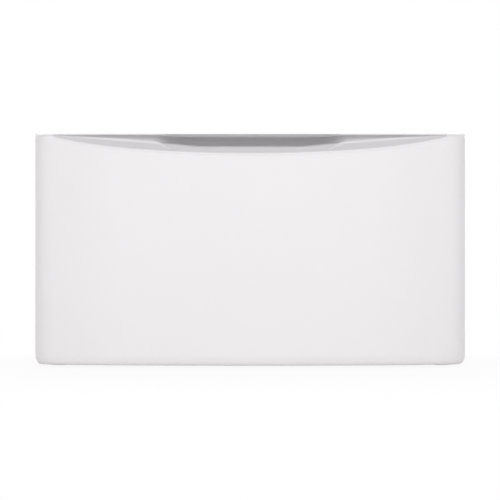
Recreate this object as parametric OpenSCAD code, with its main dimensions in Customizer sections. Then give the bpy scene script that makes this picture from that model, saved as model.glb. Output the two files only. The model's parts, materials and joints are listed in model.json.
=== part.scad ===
// Laundry pedestal with a bowed drawer front: a steel cabinet on four levelling legs that a
// washer or dryer stands on, with one storage drawer on full-extension ball-bearing slides.
// The floor is z = 0, the front faces -Y, and left and right are as the user sees them.

/* [Overall] */
// Width of the cabinet and of the drawer front
pedestal_w = 686; // [672:1:700]
// Depth from the crown of the front to the back of the side panels
pedestal_d = 660; // [656:1:690]
// Height of the deck over the floor, with the legs screwed in
pedestal_h = 372; // [366:1:400]
// Thickness of the cabinet's and the drawer's sheet steel
steel = 1; // [0.8:0.1:1.2]
// Gap between the drawer's closed front and the cabinet
front_gap = 4; // [3.6:0.1:6]
// Height of the cabinet's lower edge over the floor
base_z = 12; // [11:0.5:14]

/* [Drawer front] */
// Height of the front's lower edge over the floor
front_z0 = 5; // [3:0.5:10]
// Step from the front's top edge up to the deck
front_drop = 2; // [1:0.5:6]
// Depth of the front from its crown to its back edge
front_d = 84; // [82:1:90]
// Radius of the middle of the bow
crown_r = 1700; // [1500:10:2000]
// Half width of the middle of the bow
crown_half = 190; // [170:1:210]
// Radius of the bow's shoulders
shoulder_r = 650; // [600:10:720]
// Radius of the upright corners
corner_r = 48; // [40:0.5:49]
// Radius of the front's four corners, seen from the front
edge_r = 8; // [5:0.5:9]
// Width of the flanges that the inner front panel is screwed to
return_flange = 15; // [13:0.5:20]

/* [Grip scoop] */
// Half width of the scoop
scoop_half = 311; // [304:1:311]
// Depth of the scoop's rim under the top edge, at the crown
scoop_drop = 32.5; // [30:0.5:38]
// Distance of the straight top lip behind the crown
lip_back = 38; // [34:0.5:42]
// Drop from the top edge to where the ramp meets the lip
lip_drop = 3.7; // [3:0.1:5]
// Thickness of the lip
lip_t = 2.2; // [1.8:0.1:2.6]
// Half width of the pocket at its full height
pocket_half = 114; // [90:1:120]
// Length of the pocket's S-shaped ends
pocket_blend = 40; // [36:1:60]
// Depth of the pocket's floor under the top edge
pocket_floor = 36.5; // [34:0.5:42]
// Distance of the pocket's centre line behind the crown
pocket_back = 44; // [40:0.5:46]
// Half depth of the pocket behind the lip, from front to back
pocket_reach = 30; // [20:0.5:32]
// How flat the pocket's roof slants: 1 for an elliptical roof, more for a flatter one
roof_slant = 1.4; // [1:0.05:1.8]
// Depth under the top edge of the ledge between the rim and the pocket
ledge_drop = 20.5; // [18:0.5:24]
// Step from the ramp down to the ledge
ledge_step = 2.5; // [1:0.1:3]
// Height of the raised ridge along the side grooves and down the S-shaped ends
ridge_h = 4; // [1:0.5:5]
// Depth of the side grooves under the top edge, where they leave the pocket
groove_drop = 15.7; // [12:0.1:18]
// Depth of the side grooves at the scoop's ends
groove_end_drop = 3.2; // [3:0.1:5]
// Half depth of the side grooves, where they leave the pocket
groove_reach = 14; // [10:0.5:30]
// Wall of the moulded grip
grip_wall = 2.5; // [2:0.1:3]
// Height of the grip's rear flange
grip_flange_h = 13; // [11:0.5:16]
// Thickness of the grip's rear flange
grip_flange_t = 3; // [2:0.1:4]
// Distance of the grip's outer screws from the middle
grip_screw_x = 210; // [180:1:280]

/* [Drawer box] */
// Height of the box's lower edge over the floor
box_z0 = 60; // [56:1:70]
// Height of the box
box_h = 255; // [220:1:265]
// Depth of the box
box_d = 520; // [510:1:560]
// Width of the box's folded flanges
box_flange = 10; // [8:0.5:14]
// Thickness of the divider
divider_t = 2.5; // [2:0.1:4]

/* [Slides] */
// Height of the slides' centre line
slide_z = 150; // [130:1:200]
// Depth of the slide brackets, from the side panels to the outer rails
bracket_d = 22; // [20:0.5:26]
// Width of one closed slide
slide_w = 12.7; // [12.7:0.1:13.5]
// Height of the outer rail
rail_h = 45; // [44:0.5:50]
// Thickness of the rails
rail_t = 1.2; // [1:0.1:1.3]
// Length of each rail
rail_l = 500; // [480:5:510]
// Radius of the balls
ball_r = 1.95; // [1.9:0.05:2]
// Balls in a row
balls_per_row = 8; // [4:1:9]
// Spacing of the balls in a row
ball_pitch = 21; // [18:1:21]

/* [Legs and machine bolts] */
// Radius of a leg's stud
stud_r = 5; // [4:0.5:6]
// Distance of the legs from the side panels' outer faces
leg_inset_x = 36; // [33:1:45]
// Distance of the front and rear legs from the cabinet's front and back
leg_inset_y = 76; // [70:1:90]
// Radius of a rubber foot
foot_r = 20; // [17:0.5:24]
// Travel of a leg
leg_travel = 20; // [10:1:20]
// Thickness of a leg bracket
bracket_t = 2.5; // [2:0.1:3]
// Spacing of the machine's bolt holes across the deck
bolt_x = 600; // [560:1:604]
// Spacing of the machine's bolt holes from front to back
bolt_y = 490; // [470:1:500]
// Radius of the machine's bolt holes
bolt_r = 5.5; // [4.5:0.1:6.5]

/* [Fasteners and clearances] */
// Radius of the screws' and the rivets' shanks
shank_r = 2; // [1.5:0.1:2.4]
// Clearance round a shank
shank_gap = 0.05; // [0.03:0.01:0.1]
// Radial clearance of the balls in their races and of the studs in their nuts
running_gap = 0.05; // [0.03:0.01:0.08]
// Clearance between flat neighbours that are not clamped
seat_gap = 0.3; // [0.2:0.05:0.5]

/* [Hidden] */
eps = 0.01;
half_w = pedestal_w / 2;
arc_fn = 240;
round_fn = 48;

// The cabinet, from front to back and from the floor up
crown_y = -pedestal_d / 2;
front_back_y = crown_y + front_d;
inner_front_y = front_back_y + steel;
cab_y0 = inner_front_y + front_gap;
cab_y1 = pedestal_d / 2;
cab_mid_y = (cab_y0 + cab_y1) / 2;
deck_t = 1.2;
deck_z = pedestal_h - deck_t;
deck_field_drop = 3;
cab_flange = 20;
front_flange = bracket_d;
hem_d = 15;
top_rail_w = 70;
top_rail_h = 22;
base_rail_w = 40;
base_rail_h = 30;
base_rail_z = base_z + steel;
base_rail_lip = 24;
rear_recess = 4;
rear_screw_z = [for (share = [0.16, 0.4, 0.7, 0.9]) share * pedestal_h];
rear_field_edge = 60;
rear_field_r = 20;
deck_rivet_inset = 10;
rivet_head_r = shank_r + 1.5;
rivet_tail_r = shank_r + 1.2;
rivet_tail_h = 1.5;
hex_head_r = 4.5;
hex_head_h = 2.4;
pan_head_r = 4;
pan_head_h = 2;
tapping_l = 8;
machine_l = 10;
grip_screw_l = 7;

// The bow of the front: a crown arc, two shoulder arcs and two corner arcs, each tangent to the next
crown_cy = crown_y + crown_r;
crown_a = asin(crown_half / crown_r);
shoulder_cx = (crown_r - shoulder_r) * sin(crown_a);
shoulder_cy = crown_cy - (crown_r - shoulder_r) * cos(crown_a);
corner_cx = half_w - corner_r;
shoulder_a = asin((corner_cx - shoulder_cx) / (shoulder_r - corner_r));
corner_cy = shoulder_cy - (shoulder_r - corner_r) * cos(shoulder_a);
front_z1 = pedestal_h - front_drop;
front_mid_z = (front_z0 + front_z1) / 2;
lip_y = crown_y + lip_back;
ramp_slope = (scoop_drop - lip_drop) / lip_back;
cove_steps = 8;
grip_screw_z = front_z1 - (lip_t + grip_flange_h) / 2;

// The drawer box and its slides
slide_x = half_w - bracket_d - steel;
box_x = slide_x - slide_w;
post_x = box_x - box_flange + 2;
front_screw_inset = 30;
box_y0 = inner_front_y;
box_y1 = box_y0 + box_d;
box_z1 = box_z0 + box_h;
floor_top = box_z0 + 2 * steel;
rail_y0 = cab_y0 + 5;
rail_y1 = rail_y0 + rail_l;
rail_mid_y = (rail_y0 + rail_y1) / 2;
bracket_face_h = rail_h + 15;
bracket_lip = 12;
rivet_ys = [rail_y0 + 40, rail_mid_y, rail_y1 - 40];

// Places across a slide, from the outer rail's mounting face towards the drawer
race_r = ball_r + running_gap;
race_bite = 0.3;
outer_flange = slide_w - 2;
middle_web = 3.2;
middle_flange = slide_w - 1.3;
inner_flange = 6.2;
outer_ball_x = 7.2;
inner_ball_x = 8.6;
outer_ball_z = rail_h / 2 - rail_t + race_bite - ball_r;
middle_half = outer_ball_z - ball_r + race_bite;
inner_ball_z = middle_half - rail_t + race_bite - ball_r;
inner_half = inner_ball_z - ball_r + race_bite;
cage_t = 0.7;
cage_l = balls_per_row * ball_pitch;

// The legs
foot_h = 6;
sole_t = 4;
hex_top = base_z - 2.3;
lock_nut_h = 6;
leg_plate_z = hex_top + seat_gap + lock_nut_h;
weld_nut_h = 8;
nut_r = 2 * stud_r;
stud_top = leg_plate_z + bracket_t + weld_nut_h + leg_travel + 3;
leg_x = half_w - leg_inset_x;
leg_ys = [cab_y0 + leg_inset_y, cab_y1 - leg_inset_y];
leg_plate = 70;

// ---- Helpers ----

// A block between two opposite corners
module block(a, b) {
  translate(a) cube(b - a);
}

// The same piece on the left (-1) or the right (1)
module on_side(side) {
  mirror([side < 0 ? 1 : 0, 0, 0]) children();
}

// A Y-Z outline drawn out along X
module along_x(x0, x1) {
  translate([x0, 0, 0]) rotate([90, 0, 90]) linear_extrude(x1 - x0) children();
}

// An X-Z outline drawn out along Y
module along_y(y0, y1) {
  translate([0, y1, 0]) rotate([90, 0, 0]) linear_extrude(y1 - y0) children();
}

// An X-Y outline drawn out along Z
module along_z(z0, z1) {
  translate([0, 0, z0]) linear_extrude(z1 - z0) children();
}

// Two flat strips from x0 to x1 of thickness t, whose outer faces are half above and below the middle
module strip_pair(x0, x1, half, t) {
  for (z = [half - t, -half]) translate([x0, z]) square([x1 - x0, t]);
}

module rounded_rect(w, h, r) {
  square([w - 2 * r, h], center = true);
  square([w, h - 2 * r], center = true);
  for (x = [-1, 1], y = [-1, 1])
    translate([x * (w / 2 - r), y * (h / 2 - r)]) circle(r, $fn = round_fn);
}

// A sheet with a rounded field pressed down by drop; its upper face is z = t
module pressed_sheet(w, h, t, field_w, field_h, field_r, drop) {
  difference() {
    linear_extrude(t) square([w, h], center = true);
    translate([0, 0, -eps]) linear_extrude(t + 2 * eps) rounded_rect(field_w, field_h, field_r);
  }
  translate([0, 0, -drop]) linear_extrude(t) rounded_rect(field_w, field_h, field_r);
  translate([0, 0, -drop]) linear_extrude(drop + t) difference() {
    rounded_rect(field_w, field_h, field_r);
    rounded_rect(field_w - 2 * t, field_h - 2 * t, field_r - t);
  }
}

// A round rod or hole from point a for length l along +Y
module rod_y(a, r, l) {
  translate(a) rotate([-90, 0, 0]) cylinder(r = r, h = l, $fn = round_fn);
}

// A screw along -Y: its head starts at y = 0 and points to +Y, its shank runs l towards -Y
module screw(l, head_r, head_h, hex = false) {
  rod_y([0, -l, 0], shank_r, l + eps);
  rod_y([0, 0, 0], head_r, hex ? head_h * 0.35 : head_h);
  if (hex) rotate([-90, 0, 0]) cylinder(r = head_r * 0.8, h = head_h, $fn = 6);
}

// A rivet along -Z: its flush head's top is z = 0, and it holds a stack of thickness grip
module flush_rivet(head_t, grip) {
  translate([0, 0, -head_t]) cylinder(r1 = shank_r, r2 = rivet_head_r, h = head_t, $fn = round_fn);
  translate([0, 0, -grip]) cylinder(r = shank_r, h = grip - head_t / 2, $fn = round_fn);
  translate([0, 0, -grip - rivet_tail_h]) cylinder(r = rivet_tail_r, h = rivet_tail_h, $fn = round_fn);
}

// The hole for a flush rivet, through the same stack
module flush_hole(head_t, grip) {
  translate([0, 0, -head_t])
    cylinder(r1 = shank_r + shank_gap, r2 = rivet_head_r + shank_gap, h = head_t, $fn = round_fn);
  cylinder(r = rivet_head_r + shank_gap, h = eps, $fn = round_fn);
  translate([0, 0, -grip - eps]) cylinder(r = shank_r + shank_gap, h = grip, $fn = round_fn);
}

// ---- Cabinet ----

module at_deck_rivets() {
  for (s = [-1, 1], y = [cab_y0 + 60, cab_mid_y, cab_y1 - 60])
    translate([s * (half_w - deck_rivet_inset), y, pedestal_h]) children();
}

module at_rear_screws() {
  for (s = [-1, 1], z = rear_screw_z)
    translate([s * (half_w - cab_flange / 2), cab_y1 - rear_recess + steel, z]) children();
}

module side_panel(side) {
  color("white") difference() {
    on_side(side) {
      block([half_w - steel, cab_y0, base_z], [half_w, cab_y1, deck_z]);
      block([half_w - front_flange, cab_y0, base_z], [half_w, cab_y0 + steel, deck_z]);
      block([half_w - front_flange, cab_y0, base_rail_z + base_rail_h + seat_gap],
            [half_w - front_flange + steel, cab_y0 + hem_d, deck_z - top_rail_h - seat_gap]);
      block([half_w - cab_flange, cab_y0, base_z], [half_w, cab_y1 - rear_recess, base_z + steel]);
      block([half_w - cab_flange, cab_y0, deck_z - steel], [half_w, cab_y1, deck_z]);
      block([half_w - cab_flange, cab_y1 - rear_recess - steel, base_z],
            [half_w, cab_y1 - rear_recess, deck_z]);
    }
    at_deck_rivets() flush_hole(deck_t, deck_t + steel);
    at_rear_screws() rod_y([0, -3 * steel, 0], shank_r + shank_gap, 4 * steel);
  }
}

module rear_panel() {
  panel_h = deck_z - steel - base_z - 2 * seat_gap;
  color("gainsboro") difference() {
    translate([0, cab_y1 - rear_recess, base_z + seat_gap + panel_h / 2]) rotate([-90, 0, 0])
      pressed_sheet(2 * (half_w - steel - seat_gap), panel_h, steel,
                    pedestal_w - 2 * rear_field_edge, panel_h - 1.4 * rear_field_edge, rear_field_r,
                    deck_field_drop);
    at_rear_screws() rod_y([0, -3 * steel, 0], shank_r + shank_gap, 4 * steel);
  }
}

module top_plate() {
  cab_d = cab_y1 - cab_y0;
  color("white") difference() {
    translate([0, cab_mid_y, deck_z])
      pressed_sheet(pedestal_w, cab_d, deck_t, pedestal_w - 100, cab_d - 2 * top_rail_w - 30, 25,
                    deck_field_drop);
    at_deck_rivets() flush_hole(deck_t, deck_t + steel);
    at_machine_bolts() cylinder(r = bolt_r, h = 10, center = true, $fn = round_fn);
  }
}

module at_machine_bolts() {
  for (x = [-1, 1], y = [-1, 1])
    translate([x * bolt_x / 2, cab_mid_y + y * bolt_y / 2, deck_z]) children();
}

// A channel, open below, that backs the deck under the machine's feet
module top_rail(y0) {
  rail_x = half_w - cab_flange;
  color("white") difference() {
    along_x(-rail_x, rail_x) difference() {
      translate([y0, deck_z - top_rail_h]) square([top_rail_w, top_rail_h]);
      translate([y0 + steel, deck_z - top_rail_h - steel]) square([top_rail_w - 2 * steel, top_rail_h]);
    }
    at_machine_bolts() cylinder(r = bolt_r, h = 10, center = true, $fn = round_fn);
  }
}

// A channel across the bottom of the cabinet, with its web at y0 and its legs towards dir
module base_rail(y0, dir) {
  rail_x = half_w - steel;
  color("white") along_x(-rail_x, rail_x) translate([y0, 0]) mirror([dir < 0 ? 1 : 0, 0]) {
    translate([0, base_rail_z]) square([steel, base_rail_h]);
    translate([0, base_rail_z]) square([base_rail_w, steel]);
    translate([0, base_rail_z + base_rail_h - steel]) square([base_rail_lip, steel]);
  }
}

module leg_bracket(side, row) {
  y = leg_ys[row];
  out = row == 0 ? -1 : 1;
  x1 = half_w - steel;
  color("silver") on_side(side) difference() {
    union() {
      block([x1 - leg_plate, y - leg_plate / 2, leg_plate_z],
            [x1, y + leg_plate / 2, leg_plate_z + bracket_t]);
      block([x1 - bracket_t, y - leg_plate / 2, leg_plate_z],
            [x1, y + leg_plate / 2, leg_plate_z + leg_plate / 2]);
      translate([0, y, 0]) mirror([0, out < 0 ? 1 : 0, 0])
        block([x1 - leg_plate, leg_plate / 2 - bracket_t, leg_plate_z],
              [x1, leg_plate / 2, leg_plate_z + leg_plate / 3]);
    }
    translate([leg_x, y, leg_plate_z - 1]) cylinder(r = stud_r + 0.5, h = bracket_t + 2, $fn = round_fn);
  }
}

module at_legs() {
  for (s = [-1, 1], y = leg_ys) translate([s * leg_x, y, 0]) children();
}

module leg_nut(z, h) {
  translate([0, 0, z]) difference() {
    cylinder(r = nut_r, h = h, $fn = 6);
    translate([0, 0, -1]) cylinder(r = stud_r + running_gap, h = h + 2, $fn = round_fn);
  }
}

module leg_lock_nuts() {
  color("silver") at_legs() leg_nut(leg_plate_z - lock_nut_h, lock_nut_h);
}

module leg_weld_nuts() {
  color("silver") at_legs() leg_nut(leg_plate_z + bracket_t, weld_nut_h);
}

// ---- Legs ----

module leveling_leg(side, row) {
  color("silver") translate([side * leg_x, leg_ys[row], 0]) {
    translate([0, 0, sole_t]) cylinder(r = foot_r - 2, h = foot_h - sole_t, $fn = round_fn);
    translate([0, 0, foot_h - eps]) cylinder(r = foot_r * 0.6, h = hex_top - foot_h + eps, $fn = 6);
    translate([0, 0, foot_h]) cylinder(r = stud_r, h = stud_top - foot_h, $fn = round_fn);
  }
}

module foot_pad(side, row) {
  color("#222222") translate([side * leg_x, leg_ys[row], 0]) difference() {
    cylinder(r = foot_r, h = foot_h, $fn = round_fn);
    translate([0, 0, sole_t]) cylinder(r = foot_r - 2, h = foot_h, $fn = round_fn);
  }
}

// ---- Slides ----

// Puts an outline across a slide in place: its x runs from the mounting face towards the drawer
module slide_section(side, y0, y1) {
  on_side(side) translate([slide_x, 0, slide_z]) mirror([1, 0, 0]) along_y(y0, y1) children();
}

module races(x, z) {
  for (s = [-1, 1]) translate([x, s * z]) circle(race_r, $fn = round_fn);
}

module slide_bracket(side) {
  face_half = bracket_face_h / 2;
  color("silver") difference() {
    slide_section(side, cab_y0 + hem_d + seat_gap, rail_y1 + 10) {
      translate([-rail_t, -face_half]) square([rail_t, bracket_face_h]);
      strip_pair(-bracket_d, 0, face_half, rail_t);
      strip_pair(-bracket_d, rail_t - bracket_d, face_half + bracket_lip, bracket_lip + rail_t);
    }
    at_outer_rivets() flush_hole(rail_t, 2 * rail_t);
  }
}

module at_outer_rivets() {
  for (s = [-1, 1], y = rivet_ys) on_side(s)
    translate([slide_x - rail_t, y, slide_z]) rotate([0, -90, 0]) children();
}

module at_inner_rivets() {
  for (s = [-1, 1], y = rivet_ys) on_side(s)
    translate([box_x + rail_t, y, slide_z]) rotate([0, 90, 0]) children();
}

module outer_rail(side) {
  color("lightsteelblue") difference() {
    slide_section(side, rail_y0, rail_y1) difference() {
      union() {
        translate([0, -rail_h / 2]) square([rail_t, rail_h]);
        strip_pair(0, outer_flange, rail_h / 2, rail_t);
      }
      races(outer_ball_x, outer_ball_z);
    }
    at_outer_rivets() flush_hole(rail_t, 2 * rail_t);
  }
}

module middle_rail(side) {
  color("lightsteelblue") slide_section(side, rail_y0, rail_y1) difference() {
    union() {
      translate([middle_web, -middle_half]) square([rail_t, 2 * middle_half]);
      strip_pair(middle_web, middle_flange, middle_half, rail_t);
    }
    races(outer_ball_x, outer_ball_z);
    races(inner_ball_x, inner_ball_z);
  }
}

module inner_rail(side) {
  color("lightsteelblue") difference() {
    slide_section(side, rail_y0, rail_y1) difference() {
      union() {
        translate([slide_w - rail_t, -inner_half]) square([rail_t, 2 * inner_half]);
        strip_pair(inner_flange, slide_w, inner_half, rail_t);
      }
      races(inner_ball_x, inner_ball_z);
    }
    at_inner_rivets() flush_hole(rail_t, rail_t + steel);
  }
}

// The places of one cage's balls along the rail
function ball_ys() =
  let (last = balls_per_row - 1)
  [for (i = [0 : last]) rail_mid_y + (i - last / 2) * ball_pitch];

module at_balls(side, x, z) {
  for (y = ball_ys(), s = [-1, 1])
    on_side(side) translate([slide_x - x, y, slide_z + s * z]) children();
}

// A folded strip between two rails: a web and two tabs that hold the balls
module ball_cage(side, web_x, tab_x, ball_x, ball_z) {
  color("ivory") difference() {
    slide_section(side, rail_mid_y - cage_l / 2, rail_mid_y + cage_l / 2) {
      translate([web_x, -ball_z]) square([cage_t, 2 * ball_z]);
      strip_pair(web_x, tab_x, ball_z + cage_t / 2, cage_t);
    }
    at_balls(side, ball_x, ball_z)
      cylinder(r = ball_r + running_gap, h = 4 * cage_t, center = true, $fn = round_fn);
  }
}

module outer_cage(side) {
  ball_cage(side, rail_t + 0.6, outer_ball_x + ball_r + 0.8, outer_ball_x, outer_ball_z);
}

module inner_cage(side) {
  ball_cage(side, middle_web + rail_t + 0.5, inner_ball_x + ball_r + 0.3, inner_ball_x, inner_ball_z);
}

module balls(side, x, z) {
  color("gray") at_balls(side, x, z) sphere(r = ball_r, $fn = round_fn);
}

module outer_rail_rivets() {
  color("silver") at_outer_rivets() flush_rivet(rail_t, 2 * rail_t);
}

module inner_rail_rivets() {
  color("silver") at_inner_rivets() flush_rivet(rail_t, rail_t + steel);
}

module deck_rivets() {
  color("white") at_deck_rivets() flush_rivet(deck_t, deck_t + steel);
}

module rear_screws() {
  color("silver") at_rear_screws() screw(tapping_l, hex_head_r, hex_head_h, hex = true);
}

// ---- Drawer front ----

// The part of a circle about c that lies between two places across the front
module arc_strip(c, r, x0, x1, back_y) {
  reach = 5;
  intersection() {
    translate(c) circle(r, $fn = arc_fn);
    translate([x0, crown_y - reach]) square([x1 - x0, back_y - crown_y + reach]);
  }
}

// The front seen from above, drawn in by inset all round but at its back, which stays at back_y
module front_plan(inset, back_y = front_back_y) {
  crown_x = (crown_r - inset) * sin(crown_a);
  shoulder_x = shoulder_cx + (shoulder_r - inset) * sin(shoulder_a);
  side_x = half_w - inset;
  arc_strip([0, crown_cy], crown_r - inset, -crown_x, crown_x, back_y);
  for (s = [0, 1]) mirror([s, 0]) {
    arc_strip([shoulder_cx, shoulder_cy], shoulder_r - inset, crown_x, shoulder_x, back_y);
    if (inset < corner_r) arc_strip([corner_cx, corner_cy], corner_r - inset, shoulder_x, side_x, back_y);
  }
  translate([-side_x, corner_cy]) square([2 * side_x, back_y - corner_cy]);
}

// The front as a solid block, drawn in by inset; the inner block runs out through the open back
module front_body(inset, back_y) {
  intersection() {
    along_z(front_z0 + inset, front_z1 - inset) front_plan(inset, back_y);
    along_y(crown_y - 1, back_y + 1) translate([0, front_mid_z])
      rounded_rect(pedestal_w - 2 * inset, front_z1 - front_z0 - 2 * inset, edge_r - inset);
  }
}

// What the scoop takes out of the front: all that lies over a ramp and behind it
module scoop_cut() {
  reach = 10;
  top = front_z1 + 1;
  ramp_z = front_z1 - lip_drop;
  along_x(-scoop_half, scoop_half) polygon([
    [lip_y, ramp_z],
    [crown_y - reach, ramp_z - (lip_back + reach) * ramp_slope],
    [crown_y - reach, top],
    [front_back_y + 1, top],
    [front_back_y + 1, ramp_z]
  ]);
}

module drawer_front() {
  color("white") difference() {
    union() {
      difference() {
        front_body(0, front_back_y);
        front_body(steel, front_back_y + 1);
      }
      for (s = [-1, 1]) on_side(s)
        block([half_w - return_flange, front_back_y - steel, front_z0 + edge_r],
              [half_w - steel / 2, front_back_y, front_z1 - edge_r]);
      block([edge_r - half_w, front_back_y - steel, front_z0 + steel / 2],
            [half_w - edge_r, front_back_y, front_z0 + return_flange]);
    }
    scoop_cut();
    at_panel_screws() rod_y([0, -3 * steel, 0], shank_r + shank_gap, 4 * steel);
  }
}

// The screws that hold the inner panel to the front's side and bottom flanges
module at_panel_screws() {
  edge = return_flange / 2 + steel;
  front_h = front_z1 - front_z0;
  for (s = [-1, 1], share = [0.1, 0.34, 0.58, 0.82])
    translate([s * (half_w - edge), inner_front_y, front_z0 + share * front_h]) children();
  for (share = [-0.6, 0, 0.6]) translate([share * half_w, inner_front_y, front_z0 + edge]) children();
}

module at_front_screws() {
  for (s = [-1, 1], z = [box_z0 + front_screw_inset, box_z0 + box_h / 2, box_z1 - front_screw_inset])
    translate([s * post_x, box_y0 + steel, z]) children();
}

module at_grip_screws() {
  for (share = [-1, -1 / 3, 1 / 3, 1])
    translate([share * grip_screw_x, inner_front_y, grip_screw_z]) children();
}

module drawer_front_inner() {
  edge = 3;
  color("white") difference() {
    block([edge - half_w, front_back_y, front_z0 + edge], [half_w - edge, inner_front_y, front_z1 - edge]);
    at_panel_screws() rod_y([0, -3 * steel, 0], shank_r + shank_gap, 4 * steel);
    at_front_screws() rod_y([0, -4 * steel, 0], shank_r + shank_gap, 5 * steel);
    at_grip_screws() rod_y([0, -3 * steel, 0], shank_r + shank_gap, 4 * steel);
  }
}

// A post behind the bowed face, a channel whose legs follow the bow
module front_post(side) {
  post_w = 30;
  foot_z = front_z0 + return_flange + seat_gap;
  head_z = front_z1 - pocket_floor - 8;
  color("silver") difference() {
    on_side(side) along_z(foot_z, head_z) intersection() {
      front_plan(steel + seat_gap);
      difference() {
        translate([post_x - post_w / 2, crown_y]) square([post_w, front_d]);
        translate([post_x - post_w / 2 + steel, crown_y - 1])
          square([post_w - 2 * steel, front_d + 1 - steel]);
      }
    }
    at_front_screws() rod_y([0, -4 * steel, 0], shank_r + shank_gap, 5 * steel);
  }
}

// A channel that follows the crown arc behind the face, at mid height
module front_stiffener() {
  half_h = 16;
  depth = 18;
  low_z = front_mid_z - half_h;
  high_z = front_mid_z + half_h;
  color("silver") difference() {
    along_z(low_z, high_z) crown_band(0, depth);
    along_z(low_z + steel, high_z - steel) crown_band(-seat_gap, depth - steel);
  }
}

// A band behind the crown arc, between two depths behind the sheet
module crown_band(d0, d1) {
  skin_r = crown_r - steel - seat_gap;
  difference() {
    arc_strip([0, crown_cy], skin_r - d0, -crown_half, crown_half, inner_front_y);
    translate([0, crown_cy]) circle(skin_r - d1, $fn = arc_fn);
  }
}

// ---- Grip ----

// How far the face's inner side lies behind the crown, at distance x from the middle
function skin_back(x) =
  let (a = abs(x), i = steel + seat_gap / 3, shoulder_end = shoulder_cx + (shoulder_r - i) * sin(shoulder_a))
  a <= crown_half
    ? crown_r - sqrt(pow(crown_r - i, 2) - a * a)
    : a <= shoulder_end
      ? shoulder_cy - crown_y - sqrt(pow(shoulder_r - i, 2) - pow(a - shoulder_cx, 2))
      : corner_cy - crown_y - sqrt(pow(corner_r - i, 2) - pow(a - corner_cx, 2));

// The ramp's depth under the top edge, at distance u behind the crown
function ramp_drop(u) = lip_drop + (lip_back - u) * ramp_slope;

// 1 where a side groove leaves the pocket, falling to 0 at the scoop's end
function groove_taper(x) =
  let (start = pocket_half + pocket_blend)
  1 - min(1, max(0, (abs(x) - start) / (scoop_half - start)));

// The groove's depth under the top edge, tapering to the scoop's ends
function groove(x) = groove_end_drop + groove_taper(x) * (groove_drop - groove_end_drop);

// 1 up to x0, 0 from x1 on, and an S between them
function s_share(x, x0, x1) =
  let (t = min(1, max(0, (abs(x) - x0) / (x1 - x0))))
  1 - t * t * (3 - 2 * t);

// 1 in the pocket and 0 in the grooves
function pocket_share(x) = s_share(x, pocket_half, pocket_half + pocket_blend);

// The round hollow of the pocket and of the grooves at x: its centre behind the crown and under the
// top edge, its half height, its half depth, and how flat its roof slants
function cove(x) =
  let (
    share = pocket_share(x),
    floor_d = groove(x) + share * (pocket_floor - groove(x)),
    r = (floor_d - lip_t) / 2,
    reach = r + pow(groove_taper(x), 2) * (groove_reach - r)
  )
  [lip_back + 0.5 + share * (pocket_back - lip_back - 0.5), floor_d - r, r,
   reach + share * (pocket_reach - reach), 1 + share * (roof_slant - 1)];

// A point of the hollow c, widened by wall: elliptical under its middle, with a slanted roof over it
function cove_point(c, wall, a) =
  a >= 0
    ? [c[0] + (c[3] + wall) * cos(a), c[1] + (c[2] + wall) * sin(a)]
    : [c[0] + (c[3] + wall) * pow(max(0, cos(a)), c[4]), c[1] - (c[2] + wall) * pow(-sin(a), c[4])];

// The points of the grip's section at x: [distance behind the crown, depth under the top edge]
function grip_section(x) =
  let (
    rim_u = skin_back(x),
    rim_d = ramp_drop(rim_u),
    c = cove(x),
    ridge_d = min(rim_d - 0.4, groove(x) + pocket_share(x) * (rim_d - groove(x))),
    ridge_u = min(lip_back - (ridge_d - lip_drop) / ramp_slope, c[0] - 0.9),
    inner = s_share(x, pocket_half + pocket_blend / 3, pocket_half + pocket_blend),
    ledge_share = s_share(x, 0.6 * pocket_half, pocket_half + pocket_blend),
    bead = min(ridge_h * (1 - pow(pocket_share(x), 4)), (ridge_d - lip_t) / 2),
    crest_u = min(ridge_u + 0.25 * bead, c[0] - 0.6),
    step = ledge_step * inner,
    ledge_d = min(ridge_d, groove(x) + ledge_share * (ledge_drop - groove(x))),
    ledge_u = max(crest_u + 0.5, min(lip_back - (ledge_d - step - lip_drop) / ramp_slope, c[0] - 0.2)),
    plate_a = asin(pow(c[2] / (c[2] + grip_wall), 1 / c[4])),
    flange_u = front_d - grip_flange_t
  )
  concat(
    [[rim_u, rim_d], [ridge_u, ridge_d], [crest_u, ridge_d - bead],
     [crest_u + 0.2, ridge_d + step], [ledge_u, ledge_d]],
    [for (i = [0 : cove_steps]) cove_point(c, 0, 90 - 180 * i / cove_steps)],
    [[lip_back, lip_t], [lip_back, 0]],
    [[front_d, 0], [front_d, grip_flange_h], [flange_u, grip_flange_h], [flange_u, lip_t]],
    [for (i = [0 : cove_steps]) cove_point(c, grip_wall, -plate_a + (90 + plate_a) * i / cove_steps)],
    [[rim_u, max(rim_d, c[1] + c[2]) + grip_wall]]
  );

// The triangles that close an end: a fan over the ramp, a strip round the hollow, then the lip and flange
function grip_cap(n) =
  let (k = cove_steps, f = 4, h = k + f, m = h + 8)
  concat(
    [for (i = [0 : f - 1]) [i, i + 1, n - 1]],
    [[f, n - 2, n - 1]],
    [for (i = [1 : k]) each [[i + f - 1, i + f, n - 2 - i], [i + f - 1, n - 2 - i, n - 1 - i]]],
    [[h, h + 1, m], [h + 1, h + 2, h + 3], [h + 1, h + 3, m], [m, h + 3, h + 4],
     [m, h + 4, m - 1], [m - 1, h + 4, h + 5], [m - 1, h + 5, h + 6]]
  );

// Closely spaced in the S-shaped ends, wide elsewhere
function grip_stations() =
  let (
    s = pocket_half + pocket_blend,
    half = concat(
      [for (i = [0 : 3]) i * pocket_half / 4],
      [for (i = [0 : 9]) pocket_half + i * pocket_blend / 10],
      [for (i = [0 : 7]) s + i * (scoop_half - seat_gap - s) / 7]
    )
  )
  concat([for (i = [len(half) - 1 : -1 : 1]) -half[i]], half);

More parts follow.
